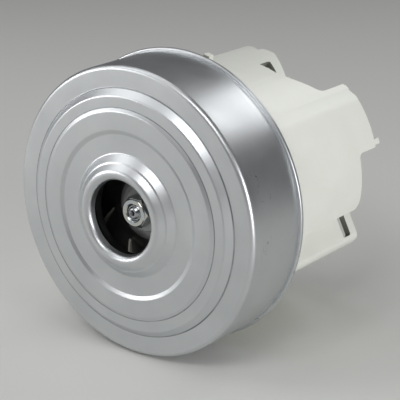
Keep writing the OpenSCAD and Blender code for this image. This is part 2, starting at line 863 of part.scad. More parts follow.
module armature_core() {
    color("slategray") laid() translate([0, 0, stack_z]) linear_extrude(stack_len) difference() {
        circle(armature_r);
        circle(shaft_r + seat_gap);
        for (i = [0:slot_count - 1]) rotate(360 * i / slot_count) {
            translate([slot_at, 0]) circle(slot_r);
            translate([slot_at, -slot_mouth / 2]) square([armature_r, slot_mouth]);
        }
    }
}

module armature_winding() {
    bar_r = slot_r - slide_gap;
    end_in = shaft_r + 1;
    end_out = armature_r - 1.7;
    round = 2.5;
    overlap = 1;
    color("chocolate") laid() union() {
        translate([0, 0, stack_z - overlap]) linear_extrude(stack_len + 2 * overlap)
            for (i = [0:slot_count - 1]) rotate(360 * i / slot_count) translate([slot_at, 0]) circle(bar_r);
        for (z = [stack_z - slide_gap - end_turn_l, stack_end + slide_gap]) rotate_extrude()
            polygon(round_loop([[end_in, z, round], [end_out, z, round],
                [end_out, z + end_turn_l, round], [end_in, z + end_turn_l, round]]));
    }
}

riser_r = commutator_r + 1.5;
riser_l = 2.5;
bar_depth = 3.3;
bar_gap = 0.6;

module commutator_cuts() {
    for (i = [0:bar_count - 1]) rotate(360 * i / bar_count)
        translate([0, -bar_gap / 2]) square([far, bar_gap]);
}

module commutator_bars() {
    color("peru") laid() for (part = [[riser_r, commutator_z, riser_l],
        [commutator_r, commutator_z + riser_l, commutator_len - riser_l]])
        translate([0, 0, part[1]]) linear_extrude(part[2]) difference() {
            circle(part[0]);
            circle(commutator_r - bar_depth);
            commutator_cuts();
        }
}

module commutator_hub() {
    neck_r = inner_race_r;
    seat_r = commutator_r - bar_depth - seat_gap;
    color("sienna") laid() rotate_extrude() polygon([[journal_r + seat_gap, commutator_z],
        [seat_r, commutator_z], [seat_r, commutator_end], [neck_r, commutator_end],
        [neck_r, rear_bearing_z], [journal_r + seat_gap, rear_bearing_z]]);
}

// Brush gear, drawn with the brush's own axis along local X

tube_in_w = brush_w + 2 * slide_gap;
tube_in_l = brush_l + 2 * slide_gap;
tube_w = tube_in_w + 2 * tube_wall;
tube_l = tube_in_l + 2 * tube_wall;
tube_start = commutator_r + 3.5;
brush_start = commutator_r + race_gap;
brush_end = brush_start + brush_len;
holder_start = 22;
holder_end = platform_end - 1;
cap_t = 1.2;

module brush_frame(a) {
    laid() about_axis(a) translate([0, 0, brush_z]) children();
}

module block(x, to, w, l) {
    translate([x, -w / 2, -l / 2]) cube([to - x, w, l]);
}

module brush_holder(a) {
    color("dimgray") brush_frame(a) difference() {
        block(holder_start, holder_end, holder_w, holder_h);
        block(0, far, tube_w + 2 * seat_gap, tube_l + 2 * seat_gap);
        for (y = [-1, 1]) translate([holder_screw_at, y * holder_screw_side, 0])
            cylinder(h = far, r = holder_screw_r + seat_gap);
    }
}

module brush_tube(a) {
    color("goldenrod") brush_frame(a) difference() {
        block(tube_start, tube_end, tube_w, tube_l);
        block(0, far, tube_in_w, tube_in_l);
    }
}

module brush(a) {
    color("black") brush_frame(a) difference() {
        block(commutator_r - 1, brush_end, brush_w, brush_l);
        translate([0, 0, -brush_l]) cylinder(h = 2 * brush_l, r = brush_start);
    }
}

module brush_cap(a) {
    ear_w = 5;
    ear_l = 3;
    stud_l = 3;
    color("goldenrod") brush_frame(a) union() {
        block(tube_end, tube_end + cap_t, tube_w, tube_l);
        translate([tube_end, -ear_w / 2, 0]) cube([cap_t, ear_w, tube_l / 2 + ear_l]);
        translate([tube_end - stud_l, 0, 0]) rotate([0, 90, 0])
            cylinder(h = stud_l + cap_t / 2, r = spring_r - spring_wire_d / 2 - 0.3);
    }
}

curl_rings = 8;
spring_r = brush_w / 2 - spring_wire_d / 2 - 0.3;
spring_start = brush_end + spring_wire_d / 2 + seat_gap;
spring_len = tube_end - spring_wire_d / 2 - seat_gap - spring_start;
spring_line = [for (i = [0:curl_rings * spring_curls])
    let (t = i / curl_rings)
    [spring_start + spring_len * t / spring_curls, spring_r * cos(360 * t), spring_r * sin(360 * t)]];
echo(spring_least_gap = least_gap(spring_line, curl_rings, spring_wire_d));

module brush_spring(a) {
    color("silver") brush_frame(a)
        polyhedron(tube_points(spring_line, spring_wire_d / 2, [1, 0, 0]), tube_faces(len(spring_line)));
}

module upper_brush_holder() {
    brush_holder(90);
}

module lower_brush_holder() {
    brush_holder(270);
}

module upper_brush_tube() {
    brush_tube(90);
}

module lower_brush_tube() {
    brush_tube(270);
}

module upper_brush() {
    brush(90);
}

module lower_brush() {
    brush(270);
}

module upper_brush_spring() {
    brush_spring(90);
}

module lower_brush_spring() {
    brush_spring(270);
}

module upper_brush_cap() {
    brush_cap(90);
}

module lower_brush_cap() {
    brush_cap(270);
}

module holder_screws() {
    head_r = 2.8;
    head_h = 2;
    reach = bridge_t + holder_h / 2 - 1.5;
    color("gold") laid() for (a = [90, 270], y = [-1, 1]) about_axis(a)
        translate([holder_screw_at, y * holder_screw_side, bridge_end - reach])
            rotate_extrude() polygon([[0, 0], [holder_screw_r, 0], [holder_screw_r, reach], [head_r, reach],
                [head_r, reach + head_h - 0.6], [head_r - 0.6, reach + head_h], [0, reach + head_h]]);
}

module mains_tabs() {
    tab_proud = 8.5;
    color("goldenrod") laid() for (s = sides) about_axis(tab_arm_dir + s)
        translate([tab_at - tab_t / 2, -tab_w / 2, bridge_z]) cube([tab_t, tab_w, bridge_t + tab_proud]);
}

fan_cover();
eye_seal_ring();
impeller_shroud();
impeller_blades();
impeller_back_plate();
clamp_washer();
fan_nut();
spacer_sleeve();
rotor_shaft();
diffuser();
front_bracket();
bracket_screws();
front_bearing_outer();
front_bearing_inner();
front_bearing_balls();
front_bearing_cage();
front_bearing_shields();
motor_housing();
stator_core();
pole_insulators();
field_coil_right();
field_coil_left();
stator_screws();
armature_core();
armature_winding();
commutator_bars();
commutator_hub();
rear_bearing_outer();
rear_bearing_inner();
rear_bearing_balls();
rear_bearing_cage();
rear_bearing_shields();
preload_washer();
upper_brush_holder();
lower_brush_holder();
upper_brush_tube();
lower_brush_tube();
upper_brush();
lower_brush();
upper_brush_spring();
lower_brush_spring();
upper_brush_cap();
lower_brush_cap();
holder_screws();
mains_tabs();
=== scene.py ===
# %% [markdown]
# # A vacuum cleaner's suction motor
# The object is the fan and motor unit of a dry vacuum cleaner. A bright drawn steel cover with stepped
# rings holds the fan, and a pale moulded barrel behind it holds a motor with carbon brushes. The measured
# solids come first: every piece below is placed in their frame, in metres, with the rotor's axis along Y,
# the inlet towards -Y and Z up. Sizes in this lesson are typed in millimetres and turned to metres once.

# %% Load the measured solids
import json
import math

import bmesh
import bpy
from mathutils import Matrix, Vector
from mathutils.bvhtree import BVHTree
from mathutils.geometry import tessellate_polygon

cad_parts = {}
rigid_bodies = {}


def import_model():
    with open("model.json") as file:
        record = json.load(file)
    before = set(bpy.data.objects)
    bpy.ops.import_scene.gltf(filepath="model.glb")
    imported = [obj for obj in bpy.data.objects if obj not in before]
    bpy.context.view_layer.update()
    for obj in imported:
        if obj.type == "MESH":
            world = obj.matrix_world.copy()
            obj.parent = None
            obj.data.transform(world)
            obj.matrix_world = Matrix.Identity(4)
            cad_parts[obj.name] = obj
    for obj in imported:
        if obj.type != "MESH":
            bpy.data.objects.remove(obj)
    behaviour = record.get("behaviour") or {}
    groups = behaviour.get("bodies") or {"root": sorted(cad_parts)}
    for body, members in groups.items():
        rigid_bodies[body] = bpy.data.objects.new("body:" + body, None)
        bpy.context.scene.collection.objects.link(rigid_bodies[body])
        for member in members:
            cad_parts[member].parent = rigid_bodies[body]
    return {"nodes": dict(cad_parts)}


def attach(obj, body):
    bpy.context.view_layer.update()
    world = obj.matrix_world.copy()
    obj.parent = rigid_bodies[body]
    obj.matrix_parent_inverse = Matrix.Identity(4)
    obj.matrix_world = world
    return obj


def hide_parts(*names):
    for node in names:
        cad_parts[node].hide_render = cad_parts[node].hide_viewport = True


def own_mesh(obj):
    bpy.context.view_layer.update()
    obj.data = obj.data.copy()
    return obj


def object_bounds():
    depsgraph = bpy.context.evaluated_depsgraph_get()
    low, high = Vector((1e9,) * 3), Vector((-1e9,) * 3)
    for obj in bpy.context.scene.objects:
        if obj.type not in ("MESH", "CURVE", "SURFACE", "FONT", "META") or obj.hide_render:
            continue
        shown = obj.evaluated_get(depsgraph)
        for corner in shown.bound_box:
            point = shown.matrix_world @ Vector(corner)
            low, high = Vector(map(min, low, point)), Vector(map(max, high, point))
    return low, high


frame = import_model()
cad_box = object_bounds()
nodes = frame["nodes"]
slot_of = {name: node.data.materials[0].name for name, node in nodes.items()}
body_of = {name: node.parent.name.split(":")[1] for name, node in nodes.items()}
MM = 0.001
print("solids:", len(nodes), "box:", [tuple(round(v, 4) for v in corner) for corner in cad_box])

# %% [markdown]
# ## Camera
# The photograph was taken from the right of the inlet and a little above. The distance and the lens were
# found by fitting the ellipses of the cover's rings: the ratio of the near and the far ring fixes how far
# away the camera stood. A 135 mm lens on a 36 mm sensor gives the same flat perspective. No shift is
# needed. The standard view keeps tones as a plain photograph has them, so that bright metal may reach
# white.

# %% Camera
camera_data = bpy.data.cameras.new("camera")
camera_data.lens = 135
camera_data.sensor_width = 36
camera = bpy.data.objects.new("camera", camera_data)
bpy.context.scene.collection.objects.link(camera)
camera.location = (0.4083, -0.4764, 0.2239)
looking = Vector((-0.5805, 0.7451, -0.3283))
camera.rotation_euler = looking.to_track_quat("-Z", "Y").to_euler()
bpy.context.scene.camera = camera
bpy.context.scene.view_settings.view_transform = "Standard"
print("camera", [round(v, 3) for v in camera.location])

# %% [markdown]
# ## Floor and light
# Bright metal shows its surroundings more than itself, so the light is part of the finish. The face of the
# cover mirrors the floor in front of it, and the skirt mirrors what stands behind it. A pale floor keeps
# the face pale. A small panel behind and above draws the light band on the skirt, one in front and above
# lights the rim of the collar, one high on the left shows in the slopes of the rings, a long low one under
# it shades the face from its top down, and those on the right and above light the housing. The rest of the
# room is dim, so that the metal keeps dark places too.

# %% Floor and lights
lowest = cad_box[0][2]
reach = 4.0
floor_mesh = bpy.data.meshes.new("floor")
floor_mesh.from_pydata([(-reach, -reach, lowest), (reach, -reach, lowest), (reach, reach, lowest),
                        (-reach, reach, lowest)], [], [(0, 1, 2, 3)])
floor = bpy.data.objects.new("floor", floor_mesh)
bpy.context.scene.collection.objects.link(floor)


def soft_panel(name, place, size, watts):
    """A rectangular soft light at a place in metres, turned towards the middle of the motor."""
    data = bpy.data.lights.new(name, "AREA")
    data.shape = "RECTANGLE"
    data.size, data.size_y = size
    data.energy = watts
    lamp = bpy.data.objects.new(name, data)
    bpy.context.scene.collection.objects.link(lamp)
    lamp.location = place
    middle = Vector((0, 0.05, 0))
    lamp.rotation_euler = (middle - Vector(place)).to_track_quat("-Z", "Y").to_euler()


soft_panel("front_above", (0.228, -0.77, 0.774), (0.5, 0.32), 3.4)
soft_panel("right", (1.11, -0.25, 0.18), (0.45, 0.45), 5.8)
soft_panel("behind", (0.225, 0.905, 0.732), (0.52, 0.36), 1.75)
soft_panel("above", (-0.3, 0.05, 1.1), (0.6, 0.6), 1.6)
soft_panel("left_high", (-0.667, -0.433, 0.805), (0.6, 0.6), 2.1)
soft_panel("left_low", (-0.879, -0.653, 0.234), (0.7, 0.3), 3.4)
world = bpy.data.worlds.new("studio")
bpy.context.scene.world = world
world.use_nodes = True
world.node_tree.nodes["Background"].inputs["Color"].default_value = (0.55, 0.56, 0.58, 1)
world.node_tree.nodes["Background"].inputs["Strength"].default_value = 0.19

# %% [markdown]
# ## Finishes: the shared tools
# A finish is a small network of nodes. One function adds any node with its settings and links. Colours are
# written as they look on a screen and turned to linear light once. The solids sit at the origin, so object
# coordinates are the object's own place in metres, and a pattern of so many millimetres has one clear
# scale.

# %% Tools for finishes


def linear(hex_colour):
    """A screen colour such as d5d8cc as linear red, green, blue and alpha."""
    parts = [int(hex_colour[i:i + 2], 16) / 255 for i in (0, 2, 4)]
    return tuple(p / 12.92 if p <= 0.04045 else ((p + 0.055) / 1.055) ** 2.4 for p in parts) + (1.0,)


def per_mm(size):
    """The texture scale that repeats once in a size in millimetres."""
    return 1 / (size * MM)


def add(tree, kind, links=None, **settings):
    """Adds a node, sets its properties and sockets, and links it to the sockets it reads."""
    made = tree.nodes.new(kind)
    for name, value in settings.items():
        setattr(made, name, value)
    for name, value in (links or {}).items():
        if isinstance(value, bpy.types.NodeSocket):
            tree.links.new(value, made.inputs[name])
        else:
            made.inputs[name].default_value = value
    return made


def finish(name, colour, roughness, **constants):
    """A new material with its constants on the shader's own sockets; returns it with its tree and shader."""
    made = bpy.data.materials.new(name)
    made.use_nodes = True
    tree = made.node_tree
    shader = tree.nodes["Principled BSDF"]
    shader.inputs["Base Color"].default_value = linear(colour)
    shader.inputs["Roughness"].default_value = roughness
    for socket, value in constants.items():
        shader.inputs[socket.replace("_", " ")].default_value = value
    return made, tree, shader


def dress(piece, material):
    """Puts one material on the whole of a piece."""
    piece.data.materials.clear()
    piece.data.materials.append(material)


floor_paper, tree, shader = finish("matt_paper_floor", "dcdcd9", 0.9)
place = add(tree, "ShaderNodeTexCoord").outputs["Object"]
grain = add(tree, "ShaderNodeTexNoise", {"Vector": place, "Scale": per_mm(2), "Detail": 3.0})
relief = add(tree, "ShaderNodeBump", {"Height": grain.outputs["Fac"], "Strength": 0.05,
                                      "Distance": 0.2 * MM})
tree.links.new(relief.outputs["Normal"], shader.inputs["Normal"])
dress(floor, floor_paper)
print("floor finish ready")

# %% [markdown]
# ## Finish: bright zinc plated drawn steel
# The cover is deep drawn from sheet and plated. The eye sees a soft mirror: highlights are broad but
# clear, with faint lines round the axis left by the drawing, cloudy places where hands and oil dulled the
# plating, and a few fine dark scuffs on the skirt, below its top. A dark line of painted shade, patchy in
# places, lies in the creases at the feet of the two rings. The lines follow the radius and the place along
# the axis, so they run round the skirt and in rings on the face. Real drawing lines are 0.1 mm apart; they
# are drawn at 0.5 mm so that they show.

# %% Bright zinc plated drawn steel


def round_the_axis(tree, place):
    """A texture place made of radius and distance along the rotor's axis, for lines that run round it."""
    across = add(tree, "ShaderNodeVectorMath", {0: place, 1: (1, 0, 1)}, operation="MULTIPLY")
    radius = add(tree, "ShaderNodeVectorMath", {0: across.outputs["Vector"]}, operation="LENGTH")
    parts = add(tree, "ShaderNodeSeparateXYZ", {"Vector": place})
    joined = add(tree, "ShaderNodeCombineXYZ", {"X": radius.outputs["Value"], "Y": parts.outputs["Y"]})
    return joined.outputs["Vector"]


skirt_from, skirt_full, scuffs_none, scuffs_full = 3, 8, 42, 34
outer_foot, outer_shade_width, inner_foot, inner_shade_width = 57.2, 0.3, 48.9, 0.25
finishes = {}
made, tree, shader = finish("zinc_plated_drawn_steel", "c3c6c8", 0.38, Metallic=1.0)
finishes["plated_steel"] = made
place = add(tree, "ShaderNodeTexCoord").outputs["Object"]
round_place = round_the_axis(tree, place)
rings = add(tree, "ShaderNodeTexNoise", {"Vector": round_place, "Scale": per_mm(0.5), "Detail": 4.0})
cloud = add(tree, "ShaderNodeTexNoise", {"Vector": place, "Scale": per_mm(24), "Detail": 5.0,
                                         "Roughness": 0.6})
tilted = add(tree, "ShaderNodeMapping", {"Vector": place, "Rotation": (0.5, 0.2, 0.9), "Scale": (1, 5, 1.4)})
scratch = add(tree, "ShaderNodeTexNoise", {"Vector": tilted.outputs["Vector"], "Scale": per_mm(11),
                                           "Detail": 1.0, "Distortion": 0.5})
narrow = add(tree, "ShaderNodeMath", {0: scratch.outputs["Fac"], 1: 0.5, 2: 0.006}, operation="COMPARE")
where = add(tree, "ShaderNodeTexNoise", {"Vector": place, "Scale": per_mm(13), "Detail": 2.0})
some = add(tree, "ShaderNodeMapRange", {"Value": where.outputs["Fac"], "From Min": 0.62, "From Max": 0.7})
parts = add(tree, "ShaderNodeSeparateXYZ", {"Vector": place})
skirt = add(tree, "ShaderNodeMapRange", {"Value": parts.outputs["Y"], "From Min": skirt_from * MM,
                                         "From Max": skirt_full * MM})
patchy = add(tree, "ShaderNodeMath", {0: narrow.outputs["Value"], 1: some.outputs["Result"]},
             operation="MULTIPLY")
low = add(tree, "ShaderNodeMapRange", {"Value": parts.outputs["Z"], "From Min": scuffs_none * MM,
                                       "From Max": scuffs_full * MM})
handled = add(tree, "ShaderNodeMath", {0: skirt.outputs["Result"], 1: low.outputs["Result"]},
              operation="MULTIPLY")
scuffs = add(tree, "ShaderNodeMath", {0: patchy.outputs["Value"], 1: handled.outputs["Value"]},
             operation="MULTIPLY")
dull = add(tree, "ShaderNodeMapRange", {"Value": cloud.outputs["Fac"], "From Min": 0.3, "From Max": 0.7,
                                        "To Min": 0.32, "To Max": 0.4})
ring_dull = add(tree, "ShaderNodeMath", {0: rings.outputs["Fac"], 1: 0.06, 2: dull.outputs["Result"]},
                operation="MULTIPLY_ADD")
scuff_dull = add(tree, "ShaderNodeMath", {0: scuffs.outputs["Value"], 1: 0.2, 2: ring_dull.outputs["Value"]},
                 operation="MULTIPLY_ADD")
tree.links.new(scuff_dull.outputs["Value"], shader.inputs["Roughness"])
tone = add(tree, "ShaderNodeMix", {"Factor": cloud.outputs["Fac"], "A": linear("c4c7ca"),
                                   "B": linear("d8dadb")}, data_type="RGBA")
radius = add(tree, "ShaderNodeSeparateXYZ", {"Vector": round_place}).outputs["X"]
# Painted shade: a dark line in the creases at the feet of the two rings, patchy by the cloud.
crease_shade_patches = add(tree, "ShaderNodeMapRange", {"Value": cloud.outputs["Fac"], "From Min": 0.3, "From Max": 0.6,
                                        "To Min": 0.3, "To Max": 0.75})
outer = add(tree, "ShaderNodeMath", {0: radius, 1: outer_foot * MM, 2: outer_shade_width * MM}, operation="COMPARE")
inner = add(tree, "ShaderNodeMath", {0: radius, 1: inner_foot * MM, 2: inner_shade_width * MM}, operation="COMPARE")
creases = add(tree, "ShaderNodeMath", {0: outer.outputs["Value"], 1: inner.outputs["Value"]},
              operation="ADD")
crease_shade = add(tree, "ShaderNodeMath", {0: creases.outputs["Value"], 1: crease_shade_patches.outputs["Result"]},
            operation="MULTIPLY")
crease_shaded_tone = add(tree, "ShaderNodeMix", {"Factor": crease_shade.outputs["Value"], "A": tone.outputs["Result"],
                                    "B": linear("5a5e62")}, data_type="RGBA")
marked = add(tree, "ShaderNodeMix", {"Factor": scuffs.outputs["Value"], "A": crease_shaded_tone.outputs["Result"],
                                     "B": linear("4c4f52")}, data_type="RGBA")
tree.links.new(marked.outputs["Result"], shader.inputs["Base Color"])
relief = add(tree, "ShaderNodeBump", {"Height": rings.outputs["Fac"], "Strength": 0.06,
                                      "Distance": 0.1 * MM})
tree.links.new(relief.outputs["Normal"], shader.inputs["Normal"])
print("plated steel ready")

# %% [markdown]
# ## Finish: moulded thermoset
# The barrel is a filled polyester moulding, the usual stuff of motor housings because it keeps its shape
# when hot. It is a warm grey white, dull but not chalky. Up close it has flow clouds some centimetres
# wide, fine specks of filler and a faint orange-peel skin. Inside, and in its windows, a dark grey is
# painted on as shade, with brush dust: a value kept on the faces of the moulding says where.

# %% Moulded thermoset


def speckled(tree, place, tone, size, detail, span, most, colour):
    """A tone with spots of another colour: noise of a size in mm that shows as it rises through a span."""
    spots = add(tree, "ShaderNodeTexNoise", {"Vector": place, "Scale": per_mm(size), "Detail": detail})
    shown = add(tree, "ShaderNodeMapRange", {"Value": spots.outputs["Fac"], "From Min": span[0],
                                             "From Max": span[1], "To Max": most})
    mixed = add(tree, "ShaderNodeMix", {"Factor": shown.outputs["Result"], "A": tone, "B": linear(colour)},
                data_type="RGBA")
    return mixed.outputs["Result"]


made, tree, shader = finish("moulded_glass_filled_polyester", "f2f3ec", 0.48, IOR=1.55)
finishes["moulded_thermoset"] = made
place = add(tree, "ShaderNodeTexCoord").outputs["Object"]
flow = add(tree, "ShaderNodeTexNoise", {"Vector": place, "Scale": per_mm(22), "Detail": 4.0,
                                        "Distortion": 0.8})
skin = add(tree, "ShaderNodeTexNoise", {"Vector": place, "Scale": per_mm(1.6), "Detail": 3.0})
tone = add(tree, "ShaderNodeMix", {"Factor": flow.outputs["Fac"], "A": linear("edefe6"),
                                   "B": linear("f7f8f1")}, data_type="RGBA")
flecked = speckled(tree, place, tone.outputs["Result"], 0.9, 2.0, (0.66, 0.75), 0.3, "dcddd2")
# Painted shade with brush dust: faces marked inside the barrel and in its windows turn dark grey.
dusted_and_shaded = add(tree, "ShaderNodeAttribute", attribute_name="brush_dust")
shade_and_dust_patches = add(tree, "ShaderNodeMapRange", {"Value": flow.outputs["Fac"], "From Min": 0.3, "From Max": 0.7,
                                         "To Min": 0.75, "To Max": 1.0})
dust_and_shade = add(tree, "ShaderNodeMath", {0: dusted_and_shaded.outputs["Fac"], 1: shade_and_dust_patches.outputs["Result"]},
           operation="MULTIPLY")
dust_and_shade_tone = add(tree, "ShaderNodeMix", {"Factor": dust_and_shade.outputs["Value"], "A": flecked,
                                    "B": linear("6f7064")}, data_type="RGBA")
tree.links.new(dust_and_shade_tone.outputs["Result"], shader.inputs["Base Color"])
dull = add(tree, "ShaderNodeMapRange", {"Value": flow.outputs["Fac"], "To Min": 0.34, "To Max": 0.46})
tree.links.new(dull.outputs["Result"], shader.inputs["Roughness"])
relief = add(tree, "ShaderNodeBump", {"Height": skin.outputs["Fac"], "Strength": 0.08, "Distance": 0.2 * MM})
tree.links.new(relief.outputs["Normal"], shader.inputs["Normal"])
print("thermoset ready")

# %% [markdown]
# ## Finishes inside the motor: one pattern for many
# Most finishes inside have the same three layers: a tone and a gloss that drift in patches of some
# millimetres, and a fine grain in low relief that may be drawn out along one axis by rolling or moulding.
# One function lays these three layers, and each finish then adds what is its own.

# %% A mottled finish


def mottled(name, dark, light, patch, gloss, grain, depth, stretch=(1, 1, 1), **constants):
    """A finish that drifts between two tones and two roughnesses in patches, with a fine grain in relief.
    The sizes of patch and grain and the depth are in millimetres. Returns the material with its tree,
    shader, place and tone."""
    made, tree, shader = finish(name, light, gloss[0], **constants)
    place = add(tree, "ShaderNodeTexCoord").outputs["Object"]
    drawn = add(tree, "ShaderNodeMapping", {"Vector": place, "Scale": stretch})
    drift = add(tree, "ShaderNodeTexNoise", {"Vector": place, "Scale": per_mm(patch), "Detail": 4.0})
    fine = add(tree, "ShaderNodeTexNoise", {"Vector": drawn.outputs["Vector"], "Scale": per_mm(grain),
                                            "Detail": 3.0})
    tone = add(tree, "ShaderNodeMix", {"Factor": drift.outputs["Fac"], "A": linear(dark),
                                       "B": linear(light)}, data_type="RGBA")
    dull = add(tree, "ShaderNodeMapRange", {"Value": drift.outputs["Fac"], "From Min": 0.3, "From Max": 0.7,
                                            "To Min": gloss[0], "To Max": gloss[1]})
    relief = add(tree, "ShaderNodeBump", {"Height": fine.outputs["Fac"], "Strength": 0.5,
                                          "Distance": depth * MM})
    tree.links.new(tone.outputs["Result"], shader.inputs["Base Color"])
    tree.links.new(dull.outputs["Result"], shader.inputs["Roughness"])
    tree.links.new(relief.outputs["Normal"], shader.inputs["Normal"])
    return made, tree, shader, place, tone.outputs["Result"]


print("mottled finish ready")

# %% [markdown]
# ## Finishes of the fan
# The fan is pressed from rolled aluminium, with long fine rolling lines; its grey is darkened as painted
# shade. Its blades are of etched strip, whose oxide film scatters the light nearly as paint does, so it
# counts as part metal. The nut is zinc plated, and its clear passivation turns from straw to pale blue
# where the film grows thicker. The washer under it was plated in a barrel with a thousand others, so its
# zinc is mottled and dull. The shaft is centreless ground, so fine lines run round it and catch the light.
# Around the eye sits a ring of acetal painted black as painted shade, with the low gloss of a bearing. The
# shroud is painted nearly black as painted shade in the eye. The back plate's raised hub is painted pale
# and matt, a painted lit patch.

# %% Fan finishes
blade_aluminium = mottled("etched_aluminium_strip", "c0bcb2", "d2cfc6", 15, (0.46, 0.58), 0.3, 0.02,
                          stretch=(1, 1, 14), Metallic=0.3)[0]
# Painted shade: the shroud is nearly black to stand for the shade inside the eye.
shroud_aluminium = mottled("dust_stained_aluminium_sheet", "2e2f2e", "474847", 9, (0.44, 0.6), 0.3, 0.02,
                           stretch=(14, 1, 1), Metallic=1.0)[0]

# Painted light and shade: the back plate's grey is darkened as painted shade, and within hub_to its raised
# hub is painted pale and matt as a painted lit patch.
hub_to, hub_fades = 14.6, 15.6
made, tree, shader, place, tone = mottled("oxidised_hub_aluminium_sheet", "868786", "a2a3a2", 15,
                                          (0.38, 0.5), 0.3, 0.02, stretch=(14, 1, 1), Metallic=1.0)
finishes["fan_aluminium"] = made
radius = add(tree, "ShaderNodeSeparateXYZ", {"Vector": round_the_axis(tree, place)}).outputs["X"]
bare = add(tree, "ShaderNodeMapRange", {"Value": radius, "From Min": hub_to * MM,
                                        "From Max": hub_fades * MM})
metal = add(tree, "ShaderNodeMapRange", {"Value": bare.outputs["Result"], "To Min": 0.3, "To Max": 1.0})
painted_lit_hub_tone = add(tree, "ShaderNodeMix", {"Factor": bare.outputs["Result"], "A": linear("c2c4c2"), "B": tone},
            data_type="RGBA")
tree.links.new(metal.outputs["Result"], shader.inputs["Metallic"])
tree.links.new(painted_lit_hub_tone.outputs["Result"], shader.inputs["Base Color"])

finishes["blackened_steel"] = mottled("barrel_plated_dull_zinc", "b4b6b6", "d6d8d7", 2.5, (0.42, 0.58), 0.25,
                                      0.01, Metallic=0.3)[0]
# Painted shade: the seal ring is black so that it reads as the shade inside the eye.
finishes["seal_plastic"] = mottled("moulded_graphite_acetal", "101112", "1a1b1c", 12, (0.48, 0.6), 0.4, 0.01,
                                   IOR=1.48)[0]

made, tree, shader, place, tone = mottled("bright_zinc_plated_steel", "b2b6ba", "cfd1d0", 8, (0.18, 0.28),
                                          0.3, 0.008, Metallic=1.0)
finishes["zinc_steel"] = made
film = add(tree, "ShaderNodeTexNoise", {"Vector": place, "Scale": per_mm(3), "Detail": 2.0})
tint = add(tree, "ShaderNodeValToRGB", {"Fac": film.outputs["Fac"]})
tint.color_ramp.elements[0].color = linear("d8d2b4")
tint.color_ramp.elements[0].position = 0.35
tint.color_ramp.elements[1].color = linear("bccbd8")
tint.color_ramp.elements[1].position = 0.65
filmed = add(tree, "ShaderNodeMix", {"Factor": 0.35, "A": tone, "B": tint.outputs["Color"]},
             data_type="RGBA")
tree.links.new(filmed.outputs["Result"], shader.inputs["Base Color"])

made, tree, shader, place, tone = mottled("centreless_ground_steel", "9c9fa2", "b4b6b8", 9, (0.2, 0.26), 0.3,
                                          0.004, Metallic=1.0)
finishes["ground_steel"] = made
# Grinding lines are a few hundredths of a millimetre apart; 0.25 mm is the finest that still shows.
lines = add(tree, "ShaderNodeTexNoise", {"Vector": round_the_axis(tree, place), "Scale": per_mm(0.25),
                                         "Detail": 2.0})
ground = add(tree, "ShaderNodeBump", {"Height": lines.outputs["Fac"], "Strength": 0.2,
                                      "Distance": 0.003 * MM})
tree.links.new(ground.outputs["Normal"], shader.inputs["Normal"])
print("fan finishes ready")

# %% [markdown]
# ## Finishes of the inner frame
# The diffuser is pale grey polyamide filled with glass: its short fibres show as thin paler flecks. The
# bearing bracket is pressed from galvanised sheet, where the zinc froze in flat crystals some millimetres
# wide, each a little lighter or darker. The bearings are polished and the cages are plain pressed strip.

# %% Inner frame finishes
made, tree, shader, place, tone = mottled("glass_filled_grey_polyamide", "c4c4ba", "d0d0c6", 14,
                                          (0.42, 0.58), 0.5, 0.02, IOR=1.53)
finishes["diffuser_plastic"] = made
combed = add(tree, "ShaderNodeMapping", {"Vector": place, "Scale": (1, 6, 2)})
fibred = speckled(tree, combed.outputs["Vector"], tone, 1.2, 1.0, (0.62, 0.7), 0.4, "e4e4dc")
tree.links.new(fibred, shader.inputs["Base Color"])

made, tree, shader, place, tone = mottled("galvanised_pressed_steel", "8f9498", "adb2b5", 10, (0.34, 0.48),
                                          0.4, 0.01, Metallic=1.0)
finishes["pressed_steel"] = made
spangle = add(tree, "ShaderNodeTexVoronoi", {"Vector": place, "Scale": per_mm(6)})
crystal = add(tree, "ShaderNodeMix", {"Factor": spangle.outputs["Color"], "A": linear("868b8f"),
                                      "B": linear("b9bdc0")}, data_type="RGBA")
tree.links.new(crystal.outputs["Result"], shader.inputs["Base Color"])

finishes["bearing_steel"] = mottled("polished_bearing_steel", "aeb1b4", "c9cbcd", 4, (0.08, 0.14), 0.3,
                                    0.002, Metallic=1.0)[0]
finishes["cage_steel"] = mottled("pressed_cage_strip", "8c8e91", "a8aaac", 3, (0.26, 0.36), 0.2, 0.004,
                                 Metallic=1.0)[0]
print("inner frame finishes ready")

# %% [markdown]
# ## Finishes of the electric parts
# The cores are stacks of punched sheets 0.5 mm thick, so their sides are ruled with dark lines under a
# thin brown varnish. Winding wire is copper under clear amber enamel, which a coat layer gives. The
# commutator is bare copper, turned after it was moulded, with a dark polished track where the brushes run.
# Its hub and the brush holders are brown black phenolic with pale wood flour in it. The tubes and tabs are
# stamped brass that has gone brown in spots. Brushes are pressed graphite, dull black, with tiny bright
# specks painted on as glints.

# %% Electric finishes
sheet_pitch, brush_at, track_half, track_fades = 0.5, 93.25, 3.6, 5.2
made, tree, shader, place, tone = mottled("stacked_electrical_sheet", "5c5d5f", "7d7e7f", 9, (0.34, 0.48),
                                          0.4, 0.01, Metallic=1.0)
finishes["lamination_steel"] = made
along = add(tree, "ShaderNodeSeparateXYZ", {"Vector": place})
count = add(tree, "ShaderNodeMath", {0: along.outputs["Y"], 1: per_mm(sheet_pitch)}, operation="MULTIPLY")
within = add(tree, "ShaderNodeMath", {0: count.outputs["Value"], 1: 1.0}, operation="PINGPONG")
joint = add(tree, "ShaderNodeMapRange", {"Value": within.outputs["Value"], "From Min": 0.0, "From Max": 0.3,
                                         "To Min": 0.85, "To Max": 0.0})
ruled = add(tree, "ShaderNodeMix", {"Factor": joint.outputs["Result"], "A": tone, "B": linear("2c2723")},
            data_type="RGBA")
tree.links.new(ruled.outputs["Result"], shader.inputs["Base Color"])
